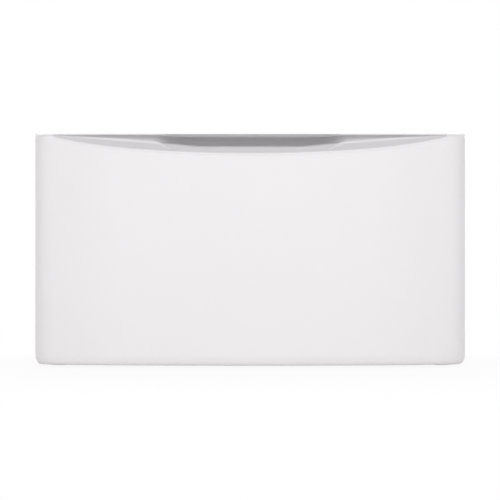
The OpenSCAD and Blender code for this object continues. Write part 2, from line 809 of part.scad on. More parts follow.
// Skins the grip's sections at the stations xs, and closes both ends
module grip_loft(xs) {
  sections = [for (x = xs) grip_section(x)];
  n = len(sections[0]);
  last = (len(xs) - 1) * n;
  cap = grip_cap(n);
  polyhedron(
    points = [for (k = [0 : len(xs) - 1], p = sections[k]) [xs[k], crown_y + p[0], front_z1 - p[1]]],
    faces = concat(
      [for (k = [0 : len(xs) - 2], i = [0 : n - 1])
        let (a = k * n + i, b = k * n + (i + 1) % n) each [[a, b, b + n], [a, b + n, a + n]]],
      [for (t = cap) [t[2], t[1], t[0]]],
      [for (t = cap) [t[0] + last, t[1] + last, t[2] + last]]
    )
  );
}

module grip_insert() {
  color("white") difference() {
    grip_loft(grip_stations());
    at_grip_screws() rod_y([0, -steel - grip_flange_t - 1, 0], shank_r + shank_gap, grip_flange_t + 2);
  }
}

// ---- Drawer box ----

module drawer_side(side) {
  color("white") difference() {
    on_side(side) {
      block([box_x - steel, box_y0, box_z0], [box_x, box_y1, box_z1]);
      for (z = [box_z0, box_z1 - steel])
        block([box_x - box_flange, box_y0, z], [box_x, box_y1, z + steel]);
      block([box_x - box_flange - 3, box_y0, box_z0], [box_x, box_y0 + steel, box_z1]);
      block([box_x - box_flange, box_y1 - steel, box_z0], [box_x, box_y1, box_z1]);
    }
    at_inner_rivets() flush_hole(rail_t, rail_t + steel);
    at_front_screws() rod_y([0, -4 * steel, 0], shank_r + shank_gap, 5 * steel);
  }
}

module drawer_back() {
  x = box_x - steel - seat_gap;
  y1 = box_y1 - steel;
  color("white") {
    block([-x, y1 - steel, floor_top], [x, y1, box_z1 - steel - seat_gap]);
    block([box_flange - x, y1 - box_flange, box_z1 - 2 * steel - seat_gap],
          [x - box_flange, y1, box_z1 - steel - seat_gap]);
  }
}

module drawer_bottom() {
  x = box_x - steel - seat_gap;
  color("white") block([-x, box_y0 + steel, box_z0 + steel], [x, box_y1 - steel, floor_top]);
}

module divider() {
  hook_t = 2;
  hook_l = 24;
  low_z = floor_top + seat_gap;
  wall_x = box_x - steel - rivet_tail_h - 2 * seat_gap;
  neck_x = box_x - box_flange - seat_gap;
  hook_z = box_z1 + seat_gap;
  mid_y = (box_y0 + box_y1) / 2;
  color("whitesmoke") translate([0, mid_y, 0]) {
    along_y(-divider_t / 2, divider_t / 2) {
      translate([-wall_x, low_z]) square([2 * wall_x, box_z1 - steel - seat_gap - low_z]);
      translate([-neck_x, low_z]) square([2 * neck_x, hook_z + hook_t - low_z]);
    }
    for (s = [-1, 1]) on_side(s)
      block([neck_x - 3, -hook_l / 2, hook_z], [box_x - 2, hook_l / 2, hook_z + hook_t]);
  }
}

module front_screws() {
  color("silver") at_front_screws() screw(machine_l, pan_head_r, pan_head_h);
}

module panel_screws() {
  color("silver") at_panel_screws() screw(tapping_l, hex_head_r, hex_head_h, hex = true);
}

module grip_screws() {
  color("silver") at_grip_screws() screw(grip_screw_l, pan_head_r, pan_head_h);
}

module drawer_bumpers() {
  color("#222222") for (s = [-1, 1], z = [front_z0 + 20, front_z1 - 25])
    rod_y([s * (half_w - 13), inner_front_y, z], 6, front_gap - seat_gap);
}

// ---- The nodes ----

side_panel(-1);  // side_panel_left
side_panel(1);  // side_panel_right
rear_panel();
top_plate();
top_rail(cab_y0 + steel);  // top_rail_front
top_rail(cab_y1 - rear_recess - steel - top_rail_w);  // top_rail_rear
base_rail(cab_y0 + steel, 1);  // base_rail_front
base_rail(cab_y1 - rear_recess - steel, -1);  // base_rail_rear
leg_bracket(-1, 0);  // leg_bracket_front_left
leg_bracket(1, 0);  // leg_bracket_front_right
leg_bracket(-1, 1);  // leg_bracket_rear_left
leg_bracket(1, 1);  // leg_bracket_rear_right
leg_weld_nuts();
leg_lock_nuts();
slide_bracket(-1);  // slide_bracket_left
slide_bracket(1);  // slide_bracket_right
outer_rail(-1);  // outer_rail_left
outer_rail(1);  // outer_rail_right
outer_rail_rivets();
deck_rivets();
rear_screws();
leveling_leg(-1, 0);  // leveling_leg_front_left
leveling_leg(1, 0);  // leveling_leg_front_right
leveling_leg(-1, 1);  // leveling_leg_rear_left
leveling_leg(1, 1);  // leveling_leg_rear_right
foot_pad(-1, 0);  // foot_pad_front_left
foot_pad(1, 0);  // foot_pad_front_right
foot_pad(-1, 1);  // foot_pad_rear_left
foot_pad(1, 1);  // foot_pad_rear_right
middle_rail(-1);  // middle_rail_left
middle_rail(1);  // middle_rail_right
outer_cage(-1);  // outer_cage_left
outer_cage(1);  // outer_cage_right
balls(-1, outer_ball_x, outer_ball_z);  // outer_balls_left
balls(1, outer_ball_x, outer_ball_z);  // outer_balls_right
inner_cage(-1);  // inner_cage_left
inner_cage(1);  // inner_cage_right
balls(-1, inner_ball_x, inner_ball_z);  // inner_balls_left
balls(1, inner_ball_x, inner_ball_z);  // inner_balls_right
drawer_front();
drawer_front_inner();
grip_insert();
front_stiffener();
front_post(-1);  // front_post_left
front_post(1);  // front_post_right
drawer_side(-1);  // drawer_side_left
drawer_side(1);  // drawer_side_right
drawer_back();
drawer_bottom();
inner_rail(-1);  // inner_rail_left
inner_rail(1);  // inner_rail_right
inner_rail_rivets();
front_screws();
panel_screws();
grip_screws();
drawer_bumpers();
divider();
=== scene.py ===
"""Laundry pedestal with a bowed, scooped drawer front: materials, finer visible pieces, light and camera.

Laid out as an add-on: the sizes and colours are properties, each piece or group of like pieces is an
operator, and a panel in the sidebar lists them. Lengths in the properties are metres.
"""

import json
import math

import bmesh
import bpy
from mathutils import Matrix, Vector


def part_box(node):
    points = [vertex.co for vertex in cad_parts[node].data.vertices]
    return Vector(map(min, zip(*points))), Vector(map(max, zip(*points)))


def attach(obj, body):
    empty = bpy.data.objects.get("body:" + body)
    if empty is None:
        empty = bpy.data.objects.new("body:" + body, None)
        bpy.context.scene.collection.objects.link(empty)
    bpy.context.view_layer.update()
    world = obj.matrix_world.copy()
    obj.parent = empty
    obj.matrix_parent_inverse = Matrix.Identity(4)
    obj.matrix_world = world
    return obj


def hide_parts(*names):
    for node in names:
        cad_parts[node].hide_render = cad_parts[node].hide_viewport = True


bl_info = {
    "name": "Laundry pedestal drawer",
    "version": (1, 0, 0),
    "blender": (4, 5, 0),
    "location": "View3D > Sidebar > Pedestal",
    "description": "Dresses a laundry pedestal with its enamel, plastic and zinc finishes",
    "category": "Object",
}

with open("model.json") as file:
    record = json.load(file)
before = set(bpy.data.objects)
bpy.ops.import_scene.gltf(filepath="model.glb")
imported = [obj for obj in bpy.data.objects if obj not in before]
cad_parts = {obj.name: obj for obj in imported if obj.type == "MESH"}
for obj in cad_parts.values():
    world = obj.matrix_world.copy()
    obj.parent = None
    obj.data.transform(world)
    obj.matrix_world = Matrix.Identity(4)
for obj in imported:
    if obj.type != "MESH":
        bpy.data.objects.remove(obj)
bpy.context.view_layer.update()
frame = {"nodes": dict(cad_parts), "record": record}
MM = 0.001

FRONT_LOW, FRONT_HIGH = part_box("drawer_front")
CROWN_Y = FRONT_LOW.y
FRONT_BACK_Y = FRONT_HIGH.y
FRONT_Z0 = FRONT_LOW.z
FRONT_Z1 = FRONT_HIGH.z
HALF_W = FRONT_HIGH.x


# ---- Sizes and colours ----


class PedestalSizes(bpy.types.PropertyGroup):
    crown_radius: bpy.props.FloatProperty(
        name="Crown radius", description="Radius of the middle of the bow", default=1.7, subtype="DISTANCE"
    )
    crown_half: bpy.props.FloatProperty(
        name="Crown half width", description="Half width of the crown arc", default=0.19, subtype="DISTANCE"
    )
    shoulder_radius: bpy.props.FloatProperty(
        name="Shoulder radius", description="Radius of the bow's shoulders", default=0.65, subtype="DISTANCE"
    )
    corner_radius: bpy.props.FloatProperty(
        name="Corner radius", description="Radius of the upright corners", default=0.048, subtype="DISTANCE"
    )
    bottom_roll: bpy.props.FloatProperty(
        name="Bottom roll", description="Inward reach of the rolled bottom edge", default=0.008,
        subtype="DISTANCE",
    )
    bottom_roll_height: bpy.props.FloatProperty(
        name="Bottom roll height", description="Height of the rolled bottom edge", default=0.017,
        subtype="DISTANCE",
    )
    top_roll: bpy.props.FloatProperty(
        name="Top roll", description="Radius of the rolled top corners", default=0.006, subtype="DISTANCE"
    )
    rim_roll: bpy.props.FloatProperty(
        name="Rim roll", description="Radius of the scoop's rolled rim", default=0.003, subtype="DISTANCE"
    )
    rim_crease: bpy.props.FloatProperty(
        name="Rim crease", description="Depth of the shallow crease under the scoop's rim", default=0.0009,
        subtype="DISTANCE",
    )
    sheet: bpy.props.FloatProperty(
        name="Sheet", description="Thickness of the front's steel", default=0.001, subtype="DISTANCE"
    )
    lip_back: bpy.props.FloatProperty(
        name="Lip setback", description="Distance of the straight lip behind the crown", default=0.038,
        subtype="DISTANCE",
    )
    lip_drop: bpy.props.FloatProperty(
        name="Lip drop", description="Drop from the top edge to where the ramp meets the lip", default=0.0037,
        subtype="DISTANCE",
    )
    lip_thickness: bpy.props.FloatProperty(
        name="Lip thickness", description="Thickness of the straight top lip", default=0.0022,
        subtype="DISTANCE",
    )
    scoop_half: bpy.props.FloatProperty(
        name="Scoop half width", description="Half width of the scoop", default=0.311, subtype="DISTANCE"
    )
    scoop_drop: bpy.props.FloatProperty(
        name="Scoop drop", description="Depth of the rim under the top edge, at the crown", default=0.0325,
        subtype="DISTANCE",
    )
    pocket_half: bpy.props.FloatProperty(
        name="Pocket half width", description="Half width of the finger pocket", default=0.114,
        subtype="DISTANCE",
    )
    pocket_blend: bpy.props.FloatProperty(
        name="Pocket end", description="Length of the pocket's S-shaped ends", default=0.04,
        subtype="DISTANCE",
    )
    pocket_floor: bpy.props.FloatProperty(
        name="Pocket floor", description="Depth of the pocket's floor under the top edge", default=0.0365,
        subtype="DISTANCE",
    )
    pocket_back: bpy.props.FloatProperty(
        name="Pocket centre", description="Distance of the pocket's centre line behind the crown",
        default=0.044, subtype="DISTANCE",
    )
    pocket_reach: bpy.props.FloatProperty(
        name="Pocket reach", description="Half depth of the pocket from front to back", default=0.03,
        subtype="DISTANCE",
    )
    ridge_height: bpy.props.FloatProperty(
        name="Ridge height", description="Height of the raised ridge in front of the grooves",
        default=0.004, subtype="DISTANCE",
    )
    groove_reach: bpy.props.FloatProperty(
        name="Groove reach", description="Half depth of the side grooves where they leave the pocket",
        default=0.014, subtype="DISTANCE",
    )
    roof_slant: bpy.props.FloatProperty(
        name="Roof slant", description="1 for an elliptical pocket, more for a flatter slanted roof",
        default=1.4,
    )
    ledge_drop: bpy.props.FloatProperty(
        name="Ledge depth", description="Depth under the top edge of the ledge before the pocket",
        default=0.0205, subtype="DISTANCE",
    )
    ledge_sag: bpy.props.FloatProperty(
        name="Ledge sag", description="How far the ledge's face dips between its edges", default=0.0016,
        subtype="DISTANCE",
    )
    sill_depth: bpy.props.FloatProperty(
        name="Sill depth", description="Depth of the sill between the ledge and the pocket",
        default=0.024, subtype="DISTANCE",
    )
    sill_rise: bpy.props.FloatProperty(
        name="Sill rise", description="How far the sill rises from the ledge to the pocket",
        default=0.002, subtype="DISTANCE",
    )
    ledge_roll: bpy.props.FloatProperty(
        name="Ledge roll", description="Reach of the ledge's rolled edge along its face", default=0.0095,
        subtype="DISTANCE",
    )
    ledge_step: bpy.props.FloatProperty(
        name="Ledge step", description="Step from the ramp down to the ledge", default=0.0025,
        subtype="DISTANCE",
    )
    groove_drop: bpy.props.FloatProperty(
        name="Groove depth", description="Depth of the side grooves at the pocket", default=0.0157,
        subtype="DISTANCE",
    )
    groove_end_drop: bpy.props.FloatProperty(
        name="Groove end depth", description="Depth of the side grooves at the scoop's ends", default=0.0032,
        subtype="DISTANCE",
    )
    grip_wall: bpy.props.FloatProperty(
        name="Grip wall", description="Wall of the moulded grip", default=0.0025, subtype="DISTANCE"
    )
    thread_pitch: bpy.props.FloatProperty(
        name="Thread pitch", description="Pitch of the levelling legs' threads", default=0.0015,
        subtype="DISTANCE",
    )
    fold_radius: bpy.props.FloatProperty(
        name="Fold radius", description="Rounding of the sheet's folds and edges", default=0.0003,
        subtype="DISTANCE",
    )
    camera_distance: bpy.props.FloatProperty(
        name="Camera distance", description="From the lens to the crown of the front", default=4.0,
        subtype="DISTANCE",
    )
    frame_width: bpy.props.FloatProperty(
        name="Frame width", description="Width that the picture covers at the front's corners",
        default=0.7985, subtype="DISTANCE",
    )


class PedestalColours(bpy.types.PropertyGroup):
    enamel: bpy.props.StringProperty(
        name="Front enamel", description="sRGB hex of the drawer front's enamel", default="F0EDEF"
    )
    powder: bpy.props.StringProperty(
        name="Cabinet powder coat", description="sRGB hex of the cabinet's coat", default="EEECED"
    )
    # The grip's white is a little greyer than the enamel. This is partly the plastic's own tone and partly
    # painted shade for the scoop's recessed ramp and pocket.
    grip_white_with_painted_shade: bpy.props.StringProperty(
        name="Grip plastic", description="sRGB hex of the moulded grip", default="E1DFE1"
    )
    galvanised: bpy.props.StringProperty(
        name="Galvanised steel", description="sRGB hex of the galvanised sheet", default="C6C9CB"
    )
    zinc: bpy.props.StringProperty(
        name="Zinc plate", description="sRGB hex of the zinc-plated steel", default="CBCFD3"
    )
    ball: bpy.props.StringProperty(
        name="Ball steel", description="sRGB hex of the polished balls", default="D6D7D9"
    )
    nylon: bpy.props.StringProperty(
        name="Nylon", description="sRGB hex of the natural nylon cages", default="E4E0D2"
    )
    polypropylene: bpy.props.StringProperty(
        name="Divider plastic", description="sRGB hex of the moulded divider", default="E6E6E6"
    )
    rubber: bpy.props.StringProperty(
        name="Rubber", description="sRGB hex of the feet and bumpers", default="2A2A2B"
    )
    floor: bpy.props.StringProperty(
        name="Floor", description="sRGB hex of the studio floor", default="F4F4F4"
    )


def sizes():
    return bpy.context.scene.pedestal_sizes


def colours():
    return bpy.context.scene.pedestal_colours


# ---- Materials ----


def linear(hex_colour):
    """An sRGB hex colour as linear RGBA."""
    parts = [int(hex_colour[i:i + 2], 16) / 255 for i in (0, 2, 4)]
    return tuple(c / 12.92 if c <= 0.04045 else ((c + 0.055) / 1.055) ** 2.4 for c in parts) + (1.0,)


def per_metre(size_mm):
    """The texture scale at which one feature of a pattern is size_mm wide."""
    return 1000 / size_mm


def add(tree, kind, links=None, **settings):
    """A node with its settings and its incoming links."""
    node = tree.nodes.new(kind)
    for name, value in settings.items():
        label = name.replace("_", " ").title()
        if hasattr(node, name):
            setattr(node, name, value)
        elif name in node.inputs:
            node.inputs[name].default_value = value
        else:
            node.inputs[label].default_value = value
    for name, source in (links or {}).items():
        tree.links.new(source, node.inputs[name])
    return node


def new_material(name):
    """A material with its tree, its shader, and the object's own coordinates."""
    material = bpy.data.materials.new(name)
    material.use_nodes = True
    tree = material.node_tree
    shader = tree.nodes["Principled BSDF"]
    place = add(tree, "ShaderNodeTexCoord").outputs["Object"]
    return material, tree, shader, place


def ramp(tree, source, low, high, start=0.3, end=0.7):
    """A colour ramp between two linear colours."""
    node = add(tree, "ShaderNodeValToRGB", {"Fac": source})
    node.color_ramp.elements[0].position = start
    node.color_ramp.elements[0].color = low
    node.color_ramp.elements[1].position = end
    node.color_ramp.elements[1].color = high
    return node.outputs["Color"]


def shade(colour, factor):
    return tuple(c * factor for c in colour[:3]) + (1.0,)


def bump_with_soft_edges(tree, shader, height, strength, depth_mm, edge_mm):
    """A bump on top of edges that the light sees as rounded."""
    edges = add(tree, "ShaderNodeBevel", samples=6, Radius=edge_mm * MM)
    bump = add(tree, "ShaderNodeBump", {"Height": height, "Normal": edges.outputs["Normal"]},
               Strength=strength, Distance=depth_mm * MM)
    tree.links.new(bump.outputs["Normal"], shader.inputs["Normal"])


def vary_roughness(tree, shader, source, low, high):
    spread = add(tree, "ShaderNodeMapRange", {"Value": source})
    spread.inputs["To Min"].default_value = low
    spread.inputs["To Max"].default_value = high
    tree.links.new(spread.outputs["Result"], shader.inputs["Roughness"])


def sprayed_coat(name, hex_colour, peel_mm, rough, peel_depth):
    """Paint on steel, sprayed and baked: an even white with a faint orange peel."""
    material, tree, shader, place = new_material(name)
    base = linear(hex_colour)
    cloud = add(tree, "ShaderNodeTexNoise", {"Vector": place}, Scale=per_metre(180), Detail=2.0)
    peel = add(tree, "ShaderNodeTexNoise", {"Vector": place}, Scale=per_metre(peel_mm), Detail=3.0)
    tree.links.new(ramp(tree, cloud.outputs["Fac"], shade(base, 0.992), base), shader.inputs["Base Color"])
    vary_roughness(tree, shader, peel.outputs["Fac"], rough - 0.03, rough + 0.03)
    shader.inputs["IOR"].default_value = 1.5
    shader.inputs["Specular IOR Level"].default_value = 0.35
    bump_with_soft_edges(tree, shader, peel.outputs["Fac"], 0.25, peel_depth, 0.5)
    return material


def front_enamel():
    # Steel, enamelled and baked: smooth and softly glossy, with an orange peel too fine to see from afar
    return sprayed_coat("baked_enamel_on_steel", colours().enamel, 2.2, 0.34, 0.012)


def cabinet_powder_coat():
    # Steel, powder coated: the same white, a little coarser and duller
    return sprayed_coat("powder_coat_on_steel", colours().powder, 1.6, 0.42, 0.03)


def moulded_abs_with_painted_shade():
    # ABS, injection moulded in a polished tool: satin, with a fine even grain. Its white is kept greyer than
    # the enamel, partly the plastic's own tone and partly painted shade for the scoop's ramp and pocket.
    material, tree, shader, place = new_material("moulded_abs_with_painted_shade")
    base = linear(colours().grip_white_with_painted_shade)
    grain = add(tree, "ShaderNodeTexNoise", {"Vector": place}, Scale=per_metre(0.9), Detail=4.0)
    flow = add(tree, "ShaderNodeTexNoise", {"Vector": place}, Scale=per_metre(120), Detail=1.0)
    tree.links.new(ramp(tree, flow.outputs["Fac"], shade(base, 0.99), base), shader.inputs["Base Color"])
    vary_roughness(tree, shader, grain.outputs["Fac"], 0.26, 0.32)
    shader.inputs["IOR"].default_value = 1.54
    bump_with_soft_edges(tree, shader, grain.outputs["Fac"], 0.2, 0.01, 0.4)
    return material


def galvanised_steel():
    # Steel sheet, hot-dip galvanised: a dull metal broken up by spangles about 9 mm wide
    material, tree, shader, place = new_material("hot_dip_galvanised_steel")
    base = linear(colours().galvanised)
    warp = add(tree, "ShaderNodeTexNoise", {"Vector": place}, Scale=per_metre(14), Detail=2.0)
    mixed = add(tree, "ShaderNodeMixRGB", {"Color1": place, "Color2": warp.outputs["Color"]},
                blend_type="LINEAR_LIGHT", Fac=0.006)
    spangle = add(tree, "ShaderNodeTexVoronoi", {"Vector": mixed.outputs["Color"]}, Scale=per_metre(9))
    tone = add(tree, "ShaderNodeSeparateColor", {"Color": spangle.outputs["Color"]})
    fine = add(tree, "ShaderNodeTexNoise", {"Vector": place}, Scale=per_metre(0.8), Detail=4.0)
    tree.links.new(ramp(tree, tone.outputs["Red"], shade(base, 0.9), shade(base, 1.04), 0.1, 0.9),
                   shader.inputs["Base Color"])
    vary_roughness(tree, shader, tone.outputs["Green"], 0.42, 0.54)
    shader.inputs["Metallic"].default_value = 1.0
    bump_with_soft_edges(tree, shader, fine.outputs["Fac"], 0.2, 0.02, 0.3)
    return material


def zinc_plate():
    # Steel, drawn or rolled, then zinc plated: a bright bluish metal with faint drawing lines along Y
    material, tree, shader, place = new_material("bright_zinc_plated_steel")
    base = linear(colours().zinc)
    along = add(tree, "ShaderNodeMapping", {"Vector": place}, Scale=(1.0, 0.02, 1.0))
    lines = add(tree, "ShaderNodeTexNoise", {"Vector": along.outputs["Vector"]}, Scale=per_metre(0.7),
                Detail=3.0)
    cloud = add(tree, "ShaderNodeTexNoise", {"Vector": place}, Scale=per_metre(30), Detail=2.0)
    tree.links.new(ramp(tree, cloud.outputs["Fac"], shade(base, 0.88), base), shader.inputs["Base Color"])
    vary_roughness(tree, shader, lines.outputs["Fac"], 0.22, 0.4)
    shader.inputs["Metallic"].default_value = 1.0
    bump_with_soft_edges(tree, shader, lines.outputs["Fac"], 0.25, 0.008, 0.25)
    return material


def polished_steel():
    # Bearing steel, ground and polished: a clean mirror with a trace of grease haze
    material, tree, shader, place = new_material("polished_bearing_steel")
    haze = add(tree, "ShaderNodeTexNoise", {"Vector": place}, Scale=per_metre(1.5), Detail=2.0)
    base = linear(colours().ball)
    tree.links.new(ramp(tree, haze.outputs["Fac"], shade(base, 0.93), base), shader.inputs["Base Color"])
    vary_roughness(tree, shader, haze.outputs["Fac"], 0.06, 0.16)
    shader.inputs["Metallic"].default_value = 1.0
    return material


def moulded_nylon():
    # Nylon, moulded without dye: a warm translucent white with a waxy sheen
    material, tree, shader, place = new_material("moulded_natural_nylon")
    base = linear(colours().nylon)
    grain = add(tree, "ShaderNodeTexNoise", {"Vector": place}, Scale=per_metre(1.1), Detail=3.0)
    tree.links.new(ramp(tree, grain.outputs["Fac"], shade(base, 0.95), base), shader.inputs["Base Color"])
    vary_roughness(tree, shader, grain.outputs["Fac"], 0.4, 0.52)
    shader.inputs["IOR"].default_value = 1.53
    bump_with_soft_edges(tree, shader, grain.outputs["Fac"], 0.2, 0.02, 0.2)
    return material


def moulded_polypropylene():
    # Polypropylene, moulded against a spark-eroded tool: a matte white with an even leather-like grain
    material, tree, shader, place = new_material("moulded_polypropylene")
    base = linear(colours().polypropylene)
    grain = add(tree, "ShaderNodeTexVoronoi", {"Vector": place}, feature="SMOOTH_F1", Scale=per_metre(1.3))
    flow = add(tree, "ShaderNodeTexNoise", {"Vector": place}, Scale=per_metre(90), Detail=2.0)
    tree.links.new(ramp(tree, flow.outputs["Fac"], shade(base, 0.975), base), shader.inputs["Base Color"])
    vary_roughness(tree, shader, grain.outputs["Distance"], 0.46, 0.58)
    shader.inputs["IOR"].default_value = 1.49
    bump_with_soft_edges(tree, shader, grain.outputs["Distance"], 0.3, 0.05, 0.5)
    return material


def moulded_rubber():
    # Black rubber, compression moulded: matte, with a dusty bloom in patches
    material, tree, shader, place = new_material("moulded_black_rubber")
    base = linear(colours().rubber)
    bloom = add(tree, "ShaderNodeTexNoise", {"Vector": place}, Scale=per_metre(9), Detail=5.0)
    grain = add(tree, "ShaderNodeTexNoise", {"Vector": place}, Scale=per_metre(0.7), Detail=3.0)
    tree.links.new(ramp(tree, bloom.outputs["Fac"], base, shade(base, 1.9)), shader.inputs["Base Color"])
    vary_roughness(tree, shader, bloom.outputs["Fac"], 0.62, 0.82)
    shader.inputs["IOR"].default_value = 1.52
    bump_with_soft_edges(tree, shader, grain.outputs["Fac"], 0.4, 0.04, 0.6)
    return material


FINISHES = {
    "front_paint": front_enamel,
    "cabinet_paint": cabinet_powder_coat,
    "grip_plastic": moulded_abs_with_painted_shade,
    "galvanised_steel": galvanised_steel,
    "zinc_steel": zinc_plate,
    "ball_steel": polished_steel,
    "cage_nylon": moulded_nylon,
    "divider_plastic": moulded_polypropylene,
    "rubber": moulded_rubber,
}
made_finishes = {}
NODE_SLOTS = {part["node"]: part["material_slot"] for part in frame["record"]["subparts"]}
NODE_BODIES = {
    node: body for body, nodes in frame["record"]["behaviour"]["bodies"].items() for node in nodes
}


def finish_of(slot):
    if slot not in made_finishes:
        made_finishes[slot] = FINISHES[slot]()
    return made_finishes[slot]


def dress(node):
    """Gives a CAD node that stays the finish of its slot."""
    mesh = frame["nodes"][node].data
    mesh.materials.clear()
    mesh.materials.append(finish_of(NODE_SLOTS[node]))


# ---- Meshes ----


def link(obj):
    bpy.context.scene.collection.objects.link(obj)


def new_piece(name, points, faces, node, smooth_angle=35):
    """A mesh piece that stands for a CAD node, rides on its body and takes its finish."""
    mesh = bpy.data.meshes.new(name)
    mesh.from_pydata([tuple(p) for p in points], [], faces)
    piece = bpy.data.objects.new(name, mesh)
    link(piece)
    clean(mesh)
    mesh.polygons.foreach_set("use_smooth", [True] * len(mesh.polygons))
    mesh.set_sharp_from_angle(angle=math.radians(smooth_angle))
    claim(piece, node)
    return piece


def clean(mesh, merge=1e-6):
    """Merges doubled points, drops faces without area and turns all faces outward."""
    shape = bmesh.new()
    shape.from_mesh(mesh)
    bmesh.ops.remove_doubles(shape, verts=shape.verts, dist=merge)
    bmesh.ops.dissolve_degenerate(shape, edges=shape.edges, dist=merge)
    bmesh.ops.recalc_face_normals(shape, faces=shape.faces)
    shape.to_mesh(mesh)
    shape.free()
    mesh.update()


def claim(piece, node):
    piece.data.materials.clear()
    piece.data.materials.append(finish_of(NODE_SLOTS[node]))
    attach(piece, NODE_BODIES[node])
    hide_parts(node)


def rounded_copy(node, radius, segments=2):
    """A copy of a CAD node whose folds and cut edges are rounded."""
    mesh = frame["nodes"][node].data.copy()
    shape = bmesh.new()
    shape.from_mesh(mesh)
    bmesh.ops.remove_doubles(shape, verts=shape.verts, dist=2e-6)
    bmesh.ops.dissolve_limit(shape, angle_limit=math.radians(0.4), verts=shape.verts, edges=shape.edges)
    shape.to_mesh(mesh)
    shape.free()
    if mesh.has_custom_normals:
        mesh.attributes.remove(mesh.attributes["custom_normal"])
    piece = bpy.data.objects.new(node + "_rounded", mesh)
    link(piece)
    mesh.polygons.foreach_set("use_smooth", [True] * len(mesh.polygons))
    mesh.set_sharp_from_angle(angle=math.radians(25))
    bevel = piece.modifiers.new("rounding", "BEVEL")
    bevel.width = radius
    bevel.segments = segments
    bevel.limit_method = "ANGLE"
    bevel.angle_limit = math.radians(35)
    bevel.harden_normals = True
    claim(piece, node)
    return piece


# ---- The bow of the front ----


def bow():
    """Centres and turns of the bow's arcs."""
    s = sizes()
    crown_cy = CROWN_Y + s.crown_radius
    crown_turn = math.asin(s.crown_half / s.crown_radius)
    shoulder_cx = (s.crown_radius - s.shoulder_radius) * math.sin(crown_turn)
    shoulder_cy = crown_cy - (s.crown_radius - s.shoulder_radius) * math.cos(crown_turn)
    corner_cx = HALF_W - s.corner_radius
    shoulder_turn = math.asin((corner_cx - shoulder_cx) / (s.shoulder_radius - s.corner_radius))
    corner_cy = shoulder_cy - (s.shoulder_radius - s.corner_radius) * math.cos(shoulder_turn)
    return crown_cy, crown_turn, shoulder_cx, shoulder_cy, shoulder_turn, corner_cx, corner_cy


def bow_depth(x):
    """How far the face lies behind the crown at x."""
    s = sizes()
    crown_cy, crown_turn, shoulder_cx, shoulder_cy, shoulder_turn, corner_cx, corner_cy = bow()
    a = abs(x)
    if a <= s.crown_radius * math.sin(crown_turn):
        return crown_cy - math.sqrt(s.crown_radius ** 2 - a * a) - CROWN_Y
    if a <= shoulder_cx + s.shoulder_radius * math.sin(shoulder_turn):
        return shoulder_cy - math.sqrt(s.shoulder_radius ** 2 - (a - shoulder_cx) ** 2) - CROWN_Y
    return corner_cy - math.sqrt(max(0.0, s.corner_radius ** 2 - (a - corner_cx) ** 2)) - CROWN_Y


def bow_stations(side_rows):
    """Places along the front's plan from left to right: point, outward direction, and row on the side."""
    s = sizes()
    crown_cy, crown_turn, shoulder_cx, shoulder_cy, shoulder_turn, corner_cx, corner_cy = bow()
    crown_steps, shoulder_steps, corner_steps = 34, 44, 14
    right = []
    for i in range(crown_steps):
        right.append(((0.0, crown_cy), s.crown_radius, crown_turn * i / crown_steps))
    for i in range(shoulder_steps):
        right.append(((shoulder_cx, shoulder_cy), s.shoulder_radius,
                      crown_turn + (shoulder_turn - crown_turn) * i / shoulder_steps))
    for i in range(corner_steps + 1):
        right.append(((corner_cx, corner_cy), s.corner_radius,
                      shoulder_turn + (math.pi / 2 - shoulder_turn) * i / corner_steps))
    stations = []
    for (cx, cy), radius, turn in right:
        out = Vector((math.sin(turn), -math.cos(turn), 0))
        stations.append((Vector((cx, cy, 0)) + out * radius, out, 0))
    for i in range(1, side_rows + 1):
        y = corner_cy + (FRONT_BACK_Y - corner_cy) * i / side_rows
        stations.append((Vector((HALF_W, y, 0)), Vector((1, 0, 0)), i))
    left = [(Vector((-p.x, p.y, 0)), Vector((-o.x, o.y, 0)), i) for p, o, i in reversed(stations[1:])]
    return left + stations


def smooth_step(value, start, end):
    t = min(1.0, max(0.0, (value - start) / (end - start)))
    return t * t * (3 - 2 * t)


def ramp_slope():
    s = sizes()
    return (s.scoop_drop - s.lip_drop) / s.lip_back


def ramp_drop(back):
    """The ramp's depth under the top edge, at a distance behind the crown."""
    s = sizes()
    return s.lip_drop + (s.lip_back - back) * ramp_slope()


def rim_share(x):
    """1 over the scoop, 0 at the front's top corners, and an S between."""
    runout, inside = 0.012, 0.004
    return 1 - smooth_step(abs(x), sizes().scoop_half - inside, sizes().scoop_half + runout - inside)


# ---- Operators ----


